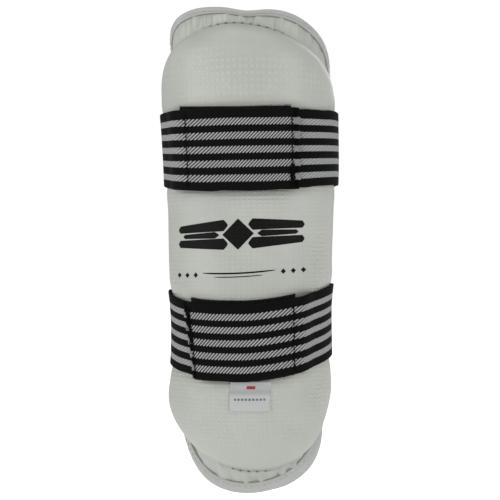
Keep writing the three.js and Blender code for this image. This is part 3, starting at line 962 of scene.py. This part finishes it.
def printed_patch(x, low, high):
    """The points, emboss places and dot strengths of a printed shape between two heights for each x."""
    z = mix(low[None, :], high[None, :], np.linspace(0, 1, 9)[:, None])
    phi = phi_at_x(np.broadcast_to(x, z.shape), z)
    level = 1 + (z - pad_bottom(phi)) / (pad_top(phi) - pad_bottom(phi))
    height = cover_height(phi, z) + cover_relief(phi, z, level) + INK_LIFT
    emboss = np.stack([emboss_u(phi), emboss_v(z)], -1)
    return layer_point(phi, z, height), emboss, dot_strength(phi, z, level)


def make_print():
    """A diamond between two sets of tapered bars, and below it a rule between rows of small diamonds."""
    shapes = []

    def add(x, middle, half):
        """A shape about a middle height for each x, which may run backwards."""
        middle = middle + PRINT_SLOPE * x
        order = np.argsort(x)
        shapes.append(((x + PRINT_X)[order], (middle - half)[order], (middle + half)[order]))

    def diamond(centre, reach, middle, half, count):
        x = np.linspace(-reach, reach, count)
        add(x + centre, np.full_like(x, middle), half * (1 - np.abs(x) / reach))

    diamond(0, 8.4, PRINT_Z, 8.2, 35)
    for side in (-1, 1):
        for height, thick, inner_x, outer_x in BARS:
            x = np.linspace(inner_x, outer_x, 61)
            along = (x - inner_x) / (outer_x - inner_x)
            half = thick * (1 - 0.4 * along) * np.clip((x - inner_x) / 2.4, 0, 1) ** 0.8
            half = half * np.clip((outer_x - x) / 1.2 + 0.15, 0, 1)
            add(side * x, PRINT_Z + height * (1 - 0.25 * along), half)
    for reach, height, thick in ((RULE_REACH, 0.9, 0.42), (13.0, -1.0, 0.26)):
        x = np.linspace(-reach, reach, 49)
        curve = 0.0022 * (RULE_REACH ** 2 - x ** 2)
        add(x, RULE_Z + height - curve, thick * (1 - (np.abs(x) / reach) ** 6 * 0.7))
    for centre in (-33.5, -28.5, -23.5, 23.5, 28.5, 33.5):
        diamond(centre, 1.3, RULE_Z + 0.0016 * (abs(centre) - RULE_REACH) ** 2, 1.45, 15)

    points, faces, uvs, dots = [], [], [], []
    for shape in shapes:
        outer, uv, dot = printed_patch(*shape)
        rows, columns = outer.shape[:2]
        faces += grid_faces(columns, rows, sum(len(p) for p in points))
        points.append(outer.reshape(-1, 3))
        uvs.append(uv.reshape(-1, 2))
        dots.append(dot.ravel())
    made = make_mesh("cover_print", np.concatenate(points), faces,
                     {"emboss": np.concatenate(uvs)}, {"dots": np.concatenate(dots)})
    place(made, INK, "cover_leather", "pad")


# ---- The straps ----

def side_share(turn, middle):
    away = np.where(np.cos(turn) > 0, np.abs(np.sin(turn)), 1.0)
    return np.minimum(1, away / math.sin(float(widest_phi(middle))))


def strap_z(strap, turn, share, half_front=None, half_side=STRAP_HALF_SIDE, lift=0.0):
    aside = side_share(turn, strap.middle)
    half = mix(half_front or strap.half_front, half_side, aside ** 3)
    return strap_middle(strap, turn, aside) + lift + share * half


def turn_at(strap, x):
    """The turn, from the front's middle, at which the cover reaches x at the strap's height."""
    turns = phi_at_x(np.atleast_1d(np.asarray(x, float)), strap.middle)
    return turns if np.ndim(x) else float(turns[0])


def mirror(points, strap):
    return points * np.array([strap.side, 1, 1])


def strap_route(strap, turns, z, offset):
    """A thread's path over the cover, and the cover's normals along it."""
    path = loop_point(turns, z, strap.middle, offset)
    return mirror(path, strap), mirror(cover_normal(turns, z), strap)


def tab_inner(strap, turn):
    """The tab lies on the side of the pad, then climbs over the two hook-and-loop layers."""
    patch_end = strap.loop_x[0]
    climb_from, climb_to = FULL_TURN + turn_at(strap, np.array([patch_end - 9, patch_end - 1]))
    return mix(CLEARANCE, ON_HOOKS, smoothstep(climb_from, climb_to, turn))


SOFT_EDGE, SOFT_ROWS = 0.955, 6
CUT_STEPS = np.array([0, 0.0008, 0.002, 0.0036])


def cut_round(share):
    return np.sqrt(np.clip(1 - (1 - np.clip(share / CUT_STEPS[-1], 0, 1)) ** 2, 0.03, 1))


def both_faces(share):
    """The shares round a flat band's section, and 1 on its outer face or -1 on its inner one."""
    back = share[-2:0:-1]
    return np.concatenate([share, back]), np.concatenate([np.ones(len(share)), -np.ones(len(back))])


def webbing(strap, name, start_turn, end_turn, inner_at, stretch_at, at_tab, seed, half_front=None, lift=0.0):
    """A length of elastic with soft edges; start_turn and end_turn are functions of the share
    from -1 at its lower edge to 1 at its upper edge. The tab half ends in the tab's cut end, and
    the sewn half starts at its own."""
    steps, rows = 300, 34
    share = np.concatenate([np.linspace(-1, -SOFT_EDGE, SOFT_ROWS)[:-1],
                            np.linspace(-SOFT_EDGE, SOFT_EDGE, rows - 2 * (SOFT_ROWS - 1)),
                            np.linspace(SOFT_EDGE, 1, SOFT_ROWS)[1:]])
    ring_share, outward = both_faces(share)
    u = np.linspace(0, 1, steps)
    u = np.concatenate([u[:-2], 1 - CUT_STEPS[::-1]] if at_tab else [CUT_STEPS, u[2:]])
    uu, ss = np.meshgrid(u, ring_share, indexing="ij")
    turn = mix(start_turn(ss), end_turn(ss), uu)
    front_lift = lift * (1 - side_share(turn, strap.middle) ** 3)
    z = strap_z(strap, turn, ss, half_front, STRAP_HALF_SIDE, front_lift)
    z = z + noise(turn * 9, ss * 0 + (ss > 0) * 7, seed) * 0.22 * np.abs(ss) ** 3
    edge = np.clip((np.abs(ss) - SOFT_EDGE) / (1 - SOFT_EDGE), 0, 1)
    thick = np.sqrt(np.clip(1 - edge ** 2, 0.0, 1)) * 0.5 * (ELASTIC - 0.15)
    thick = thick * cut_round(1 - uu if at_tab else uu)
    swell = noise(turn * 6, ss * 2.0, seed + 1) * 0.12
    if at_tab:
        for row in (strap.near_row, strap.far_row):
            row_turn = FULL_TURN + np.interp(ss, [-1, 1], turn_at(strap, row))
            swell = swell - 0.32 * bell((turn - row_turn) * 50, 0.9)
    offset = inner_at(turn) + ELASTIC / 2 + swell + outward * thick
    rings = mirror(loop_point(turn, z, strap.middle, offset), strap)
    middle_line = loop_point(turn[:, 0], strap_z(strap, turn[:, 0], 0.0), strap.middle, offset[:, 0])
    step = np.linalg.norm(np.diff(middle_line, axis=0), axis=1)
    stretch = stretch_at(turn)
    drawn = 1 + SIDE_STRETCH * stretch[1:, 0] + TAB_STRETCH * smoothstep(0, 0.6, -np.sin(turn[1:, 0]))
    relaxed = strap.side * np.concatenate([[0], np.cumsum(step / drawn)])
    weave = np.stack([np.broadcast_to(relaxed[:, None], uu.shape), (1 - ss) / 2], -1)
    piece = ring_mesh(name, rings, False, {"weave": weave}, {"stretch": stretch}, flip=strap.side < 0)
    place(piece, ELASTIC_WEB, "elastic")
    return piece


def thread_row(strap, row, inner, length, gap, radius, kind, low=-0.9, high=0.9, spread=0.1, seed=0):
    """A row of stitches across the tab, between two shares of its half-height."""
    random = np.random.default_rng(seed)
    routes = []
    half = strap.half_front
    rise = np.sin(np.linspace(0, math.pi, 6)) * 0.16
    for middle in np.arange(low * half, high * half - length, length + gap):
        share = (middle + np.linspace(0, length, 6)) / half
        x = mix(row[0], row[1], (share + 1) / 2) + spread * random.uniform(-1, 1, 2)[[0, 0, 0, 1, 1, 1]]
        turn = turn_at(strap, x)
        routes.append(strap_route(strap, turn, strap_z(strap, turn, share), inner + ELASTIC - 0.02 + rise))
    threads(f"{strap.name}_{kind}", routes, radius, BLACK_THREAD, "elastic", f"{strap.name}_tab", 0.6)


def patch_lift(strap, turn):
    """The loop patch was sewn on a little askew: it shows most at the tab's folded end."""
    from_middle = -np.sin(turn) * 45
    return strap.loop_lift + strap.loop_tilt * 1.4 * np.maximum(0, from_middle)


def make_patch(strap, name, node, x_range, inner, thickness, half_height, lift, material, body, bulge):
    """A sewn patch of hook or loop tape with soft edges."""
    steps, ring = 90, 26
    share = np.sin(np.linspace(-1, 1, ring) * math.pi / 2)
    ring_share, outward = both_faces(share)
    u = np.concatenate([[0, 0.002, 0.006], np.linspace(0.012, 0.988, steps), [0.994, 0.998, 1]])
    uu, ss = np.meshgrid(u, ring_share, indexing="ij")
    turn = mix(turn_at(strap, x_range[0]), turn_at(strap, x_range[1]), uu)
    z = strap_z(strap, turn, ss, half_height, half_height, lift(turn))
    edge = np.clip((np.abs(ss) - 0.93) / 0.07, 0, 1)
    ends = np.clip(np.minimum(uu, 1 - uu) / 0.012, 0.0, 1)
    thick = np.sqrt(np.clip(1 - edge ** 2, 0, 1)) * np.sqrt(np.clip(1 - (1 - ends) ** 2, 0.04, 1))
    fuzz = noise(turn * 60, ss * 26, 51) * bulge * (outward > 0)
    offset = inner + thickness / 2 + outward * thick * (thickness - 0.1) / 2 + fuzz * thick
    rings = mirror(loop_point(turn, z, strap.middle, offset), strap)
    piece = ring_mesh(name, rings, False, flip=strap.side < 0)
    place(piece, material, "hook_and_loop", body, node)


def make_fuzz(strap):
    """Loose loops of pile along the loop patch's edges, longest at its far end."""
    random = np.random.default_rng(strap.fuzz_seed)
    turn_low, turn_high = turn_at(strap, strap.loop_x)
    t = np.linspace(0, 1, 5)
    routes = []
    for _ in range(700):
        along = random.uniform(0, 1)
        upper = random.uniform() < 0.75
        turn = mix(turn_low, turn_high, along)
        long = 0.3 + 0.8 * along ** 6 * random.uniform(0.2, 1)
        edge = 1.0 if upper else -1.0
        start_share = edge * random.uniform(0.93, 1.0)
        lean = random.uniform(-0.6, 0.6)
        turns = turn + lean * t * long / 45
        lift = patch_lift(strap, turns)
        base = strap_z(strap, turns, start_share, LOOP_HALF_HEIGHT, LOOP_HALF_HEIGHT, lift)
        z = base + edge * long * np.sin(t * math.pi * 0.75)
        offset = CLEARANCE + LOOP_PILE * random.uniform(0.3, 0.95) + 0.25 * np.sin(t * math.pi)
        routes.append(strap_route(strap, turns, z, offset))
    threads(f"{strap.name}_loop_fuzz", routes, 0.055, LOOP, "hook_and_loop", "pad", sides=3)


def make_hooks(strap):
    """Small hooks over the hook patch, on the side that faces the pad."""
    turn_low, turn_high = turn_at(strap, strap.hook_x)
    bend = np.sin(np.linspace(0, 1, 4) * 2.2)
    routes = []
    for i, along in enumerate(np.linspace(0.03, 0.97, 46)):
        turns = mix(turn_low, turn_high, along) + 0.35 * bend / 45
        for share in np.linspace(-0.93, 0.93, 24) + (0.02 if i % 2 else -0.02):
            z = strap_z(strap, turns, share, HOOK_HALF_HEIGHT, HOOK_HALF_HEIGHT)
            path = loop_point(turns, z, strap.middle, ON_LOOP + 0.1 - 0.32 * bend)
            routes.append((mirror(path, strap), (0.0, 0.0, 1.0)))
    threads(f"{strap.name}_hooks", routes, 0.09, HOOK, "hook_and_loop", f"{strap.name}_tab", sides=3)


def make_strap(strap):
    name, side, seed = strap.name, strap.side, strap.seed
    pad, back, tab = "pad", f"{name}_back_span", f"{name}_tab"
    anchor = turn_at(strap, strap.anchor_x)
    slack_from, slack_to = turn_at(strap, np.array([1, 6]) + strap.anchor_x)
    held_from, held_to = FULL_TURN + turn_at(strap, np.array([-6, 1]) + strap.hook_x[0])
    tab_end = FULL_TURN + turn_at(strap, strap.tab_x)

    sewn = webbing(strap, f"{name}_elastic_sewn_half", lambda share: anchor, lambda share: math.pi,
                   lambda turn: CLEARANCE,
                   lambda turn: np.clip(smoothstep(slack_from, slack_to, turn), 0.35, 1), False, seed,
                   strap.half_front - 0.8, strap.sewn_lift)
    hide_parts(f"{name}_strap_sewn_end", f"{name}_strap_back")
    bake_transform(sewn)

    free = webbing(strap, f"{name}_elastic_tab_half", lambda share: math.pi,
                   lambda share: np.interp(share, [-1, 1], tab_end),
                   lambda turn: tab_inner(strap, turn),
                   lambda turn: 1 - smoothstep(held_from, held_to, turn), True, seed + 5)
    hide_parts(f"{name}_strap_tab")
    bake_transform(free)

    make_patch(strap, f"{name}_loop_pad", f"{name}_loop_patch", strap.loop_x, CLEARANCE - SEWN_DENT,
               LOOP_PILE + SEWN_DENT, LOOP_HALF_HEIGHT, lambda turn: patch_lift(strap, turn), LOOP, pad, 0.16)
    make_patch(strap, f"{name}_hook_pad", f"{name}_hook_patch", strap.hook_x, ON_LOOP, HOOK_TAPE,
               HOOK_HALF_HEIGHT, lambda turn: 0 * turn, HOOK, tab, 0.03)
    make_fuzz(strap)
    make_hooks(strap)

    thread_row(strap, strap.near_row, ON_HOOKS, 2.0, 0.15, 0.36, "near_stitches", seed=seed)
    thread_row(strap, strap.far_row, ON_HOOKS, 2.0, 0.1, 0.33, "far_stitches", seed=seed + 1)
    for k, shift in enumerate((-0.5, 0.1, 0.7)):
        beside = np.add(strap.far_row, shift)
        thread_row(strap, beside, ON_HOOKS + 0.2, 2.6, -1.2, 0.42, f"back_tack_{k}", *strap.tack, 0.5,
                   seed + 10 + k)
    make_fray(strap, seed + 20)


def make_fray(strap, seed):
    """Yarn ends that stick out of the tab's cut edge, grey in the stripes and black between."""
    random = np.random.default_rng(seed)
    yarns = {True: [], False: []}
    t = np.linspace(0, 1, 6)
    for share in np.linspace(-0.97, 0.97, 150):
        v = (1 - share) / 2
        in_stripe = min(abs(v - middle) for middle in STRIPE_MIDDLES) < STRIPE_HALF + 0.004
        end = np.interp(share, [-1, 1], strap.tab_x)
        start = np.interp(share, [-1, 1], strap.far_row) + 0.6
        for _ in range(2 if in_stripe else 1):
            reach = random.uniform(0.1, 0.9) if in_stripe else random.uniform(-0.1, 0.3)
            sway = random.uniform(-0.025, 0.025) * t
            shares = share + sway + random.uniform(-0.006, 0.006)
            turn = turn_at(strap, start + t * (end + reach - start))
            lift = ON_HOOKS + ELASTIC * random.uniform(0.7, 1.0) + 0.45 * np.sin(t * 2.6) - 0.8 * t ** 4
            yarns[in_stripe].append(strap_route(strap, turn, strap_z(strap, turn, shares), lift))
    for kind, routes, radius, yarn in (("grey", yarns[True], 0.3, GREY_YARN),
                                       ("black", yarns[False], 0.2, BLACK_THREAD)):
        threads(f"{strap.name}_{kind}_fray", routes, radius, yarn, "elastic", f"{strap.name}_tab",
                sides=5)


# ---- The label ----

def make_label():
    columns, rows = 40, 34
    u, v = np.meshgrid(np.linspace(0, 1, columns), np.linspace(0, 1, rows))
    z = mix(LABEL["bottom"], LABEL["top"], v)
    phi = phi_at_x(mix(LABEL["left"], LABEL["right"], u), z)
    lift = 0.35 + 0.55 * bell(v - 0.62, 0.12) + 0.15 * noise(u * 4, v * 3, 91) + 0.3 * (1 - v) ** 2
    normal = cover_normal(phi, z)
    base = cover_point(phi, z)
    outer = base + (CLEARANCE + lift)[..., None] * normal
    inner = base + (CLEARANCE + lift - 0.28)[..., None] * normal
    label = shell("size_tag", outer, inner, {"label": np.stack([u, v], -1)})
    place(label, SATIN, "satin")
    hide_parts("size_label")
    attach(label, "pad")


# ---- The foams inside ----

def foam_layer(name, node, inner_height, outer_height, material, slot):
    """A closed foam sheet inside the pad, between two heights that are functions of the cover's."""
    phi, level = np.meshgrid(np.linspace(-0.86, 0.86, 70) * PAD_PHI, np.linspace(1.04, 1.96, 90))
    z = z_at_level(phi, level)
    cover = cover_height(phi, z) + np.minimum(0, strap_press(phi, z)) - 0.35
    outer = layer_point(phi, z, outer_height(cover))
    inner = layer_point(phi, z, inner_height(cover))
    place(shell(name, outer, inner), material, slot, "pad", node, fill=1.0)


def make_foams():
    def middle(cover):
        return 1.0 + np.minimum(3.5, 0.36 * (cover - 2))

    foam_layer("dense_foam_core", "foam_core", lambda cover: middle(cover) + 0.2,
               lambda cover: np.maximum(middle(cover) + 0.5, cover - 1.5),
               foam_material("dense_foam", (0.02, 0.021, 0.023), (0.045, 0.047, 0.05), 900), "dense_foam")
    foam_layer("soft_foam_sheet", "backing_foam", lambda cover: 1.1 + 0 * cover, middle,
               foam_material("soft_foam", (0.45, 0.38, 0.24), (0.72, 0.65, 0.48), 700), "soft_foam")


make_camera()
make_stage()
make_cover()
make_lining()
make_binding()
make_crease_stitches()
make_print()
for strap in STRAPS:
    make_strap(strap)
make_label()
make_foams()
